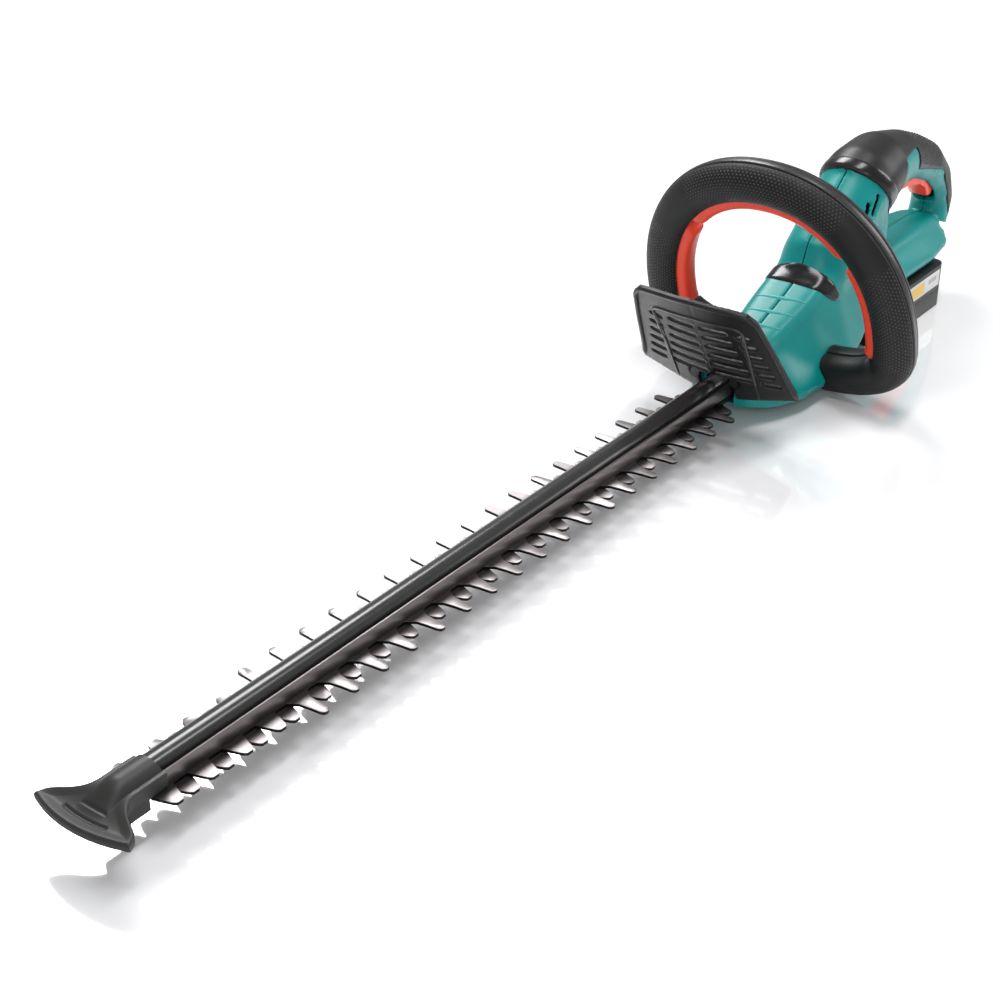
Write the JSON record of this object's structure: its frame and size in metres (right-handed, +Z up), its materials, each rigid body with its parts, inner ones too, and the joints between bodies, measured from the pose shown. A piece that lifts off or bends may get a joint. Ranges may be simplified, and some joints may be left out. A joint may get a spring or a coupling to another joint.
{
  "type": "hedge trimmer",
  "caption": "Cordless hedge trimmer with a long double-sided blade, a loop front handle with levers, a D-shaped rear handle with a trigger, a hand guard and a slide-on battery.",
  "frame": {"origin": "on the ground under the middle of the whole trimmer, level with the underside of the battery and the loop handle", "axes": "+X along the blade to its tip, +Y to the user's left, +Z up"},
  "size_m": [0.9665, 0.2222, 0.1821],
  "materials": {
    "teal_plastic": "moulded, fine grain",
    "soft_grip": "soft overmould",
    "black_plastic": "moulded, fine grain",
    "orange_plastic": "smooth",
    "blade_steel": "ground, laser-cut edges",
    "channel_steel": "satin",
    "fastener_steel": "blackened",
    "spring_steel": "drawn wire",
    "cast_alloy": "die cast",
    "gear_steel": "hardened",
    "bush_bronze": "sintered bronze",
    "motor_steel": "zinc plated",
    "magnet": "ferrite",
    "brush_carbon": "carbon",
    "armature_copper": "enamelled copper and laminations",
    "board_green": "circuit board",
    "contact_metal": "nickel plated",
    "battery_black": "moulded, fine grain",
    "cell_wrap": "shrink sleeve"
  },
  "bodies": {
    "tool": {"left_shell": "teal_plastic", "right_shell": "teal_plastic", "grip_cover": "soft_grip", "collar_band": "black_plastic", "hand_guard": "black_plastic", "guard_screws": "fastener_steel", "loop_front_shell": "soft_grip", "loop_rear_shell": "black_plastic", "loop_switches": "black_plastic", "loop_screws": "fastener_steel", "lever_left_spring": "spring_steel", "lever_top_spring": "spring_steel", "lever_right_spring": "spring_steel", "upper_blade": "blade_steel", "bar_channel": "channel_steel", "bar_cover": "black_plastic", "blade_bolts": "fastener_steel", "blade_nuts": "fastener_steel", "clamp_plate": "channel_steel", "tip_guard": "black_plastic", "tip_screw": "fastener_steel", "gearbox_base": "cast_alloy", "gearbox_cover": "cast_alloy", "gearbox_screws": "fastener_steel", "gear_bushes": "bush_bronze", "motor_can": "motor_steel", "motor_end_cap": "black_plastic", "motor_bushes": "bush_bronze", "motor_magnets": "magnet", "motor_brushes": "brush_carbon", "motor_screws": "fastener_steel", "trigger_pin": "fastener_steel", "trigger_spring": "spring_steel", "trigger_switch": "black_plastic", "circuit_board": "board_green", "terminal_block": "black_plastic", "contact_blades": "contact_metal", "housing_screws": "fastener_steel"},
    "cutter": {"lower_blade": "blade_steel"},
    "crank": {"crank_gear": "gear_steel", "crank_shaft": "gear_steel"},
    "idler": {"idler_gear": "gear_steel", "idler_shaft": "gear_steel"},
    "rotor": {"motor_shaft": "gear_steel", "armature": "armature_copper", "commutator": "armature_copper", "motor_pinion": "gear_steel", "cooling_fan": "black_plastic"},
    "trigger": {"trigger": "orange_plastic"},
    "lever_left": {"lever_left": "orange_plastic"},
    "lever_top": {"lever_top": "orange_plastic"},
    "lever_right": {"lever_right": "orange_plastic"},
    "battery": {"battery_upper_case": "battery_black", "battery_lower_case": "battery_black", "battery_cells": "cell_wrap", "battery_contacts": "contact_metal", "battery_board": "board_green", "latch_spring": "spring_steel"},
    "latch": {"battery_latch": "orange_plastic"}
  },
  "joints": [
    {"name": "blade_slide", "type": "slide", "parent": "tool", "child": "cutter", "axis": [1, 0, 0], "range_m": [-0.01, 0.01]},
    {"name": "motor_spin", "type": "hinge", "parent": "tool", "child": "rotor", "pos_m": [-0.27315, 0, 0.06], "axis": [0, 0, 1], "continuous": true},
    {"name": "idler_spin", "type": "hinge", "parent": "tool", "child": "idler", "pos_m": [-0.24815, 0, 0.04], "axis": [0, 0, 1], "continuous": true},
    {"name": "crank_spin", "type": "hinge", "parent": "tool", "child": "crank", "pos_m": [-0.22115, 0, 0.03], "axis": [0, 0, 1], "continuous": true},
    {"name": "trigger_pull", "type": "hinge", "parent": "tool", "child": "trigger", "pos_m": [-0.36315, 0, 0.109], "axis": [0, 1, 0], "range_deg": [0, 5], "stiffness_Nm_per_rad": 1.2, "deforming": ["trigger_spring"]},
    {"name": "lever_left_press", "type": "slide", "parent": "tool", "child": "lever_left", "axis": [0, 1, 0], "range_m": [0, 0.003], "stiffness_N_per_m": 1500, "deforming": ["lever_left_spring"]},
    {"name": "lever_top_press", "type": "slide", "parent": "tool", "child": "lever_top", "axis": [0.2807, 0, 0.9598], "range_m": [0, 0.003], "stiffness_N_per_m": 1500, "deforming": ["lever_top_spring"]},
    {"name": "lever_right_press", "type": "slide", "parent": "tool", "child": "lever_right", "axis": [0, -1, 0], "range_m": [0, 0.003], "stiffness_N_per_m": 1500, "deforming": ["lever_right_spring"]},
    {"name": "battery_slide", "type": "slide", "parent": "tool", "child": "battery", "axis": [-1, 0, 0], "range_m": [0, 0.06]},
    {"name": "latch_press", "type": "slide", "parent": "battery", "child": "latch", "axis": [1, 0, 0], "range_m": [0, 0.004], "stiffness_N_per_m": 900, "deforming": ["latch_spring"]}
  ],
  "couplings": [
    {"joint": "idler_spin", "follows": "motor_spin", "ratio": -0.25},
    {"joint": "crank_spin", "follows": "motor_spin", "ratio": 0.071429}
  ]
}
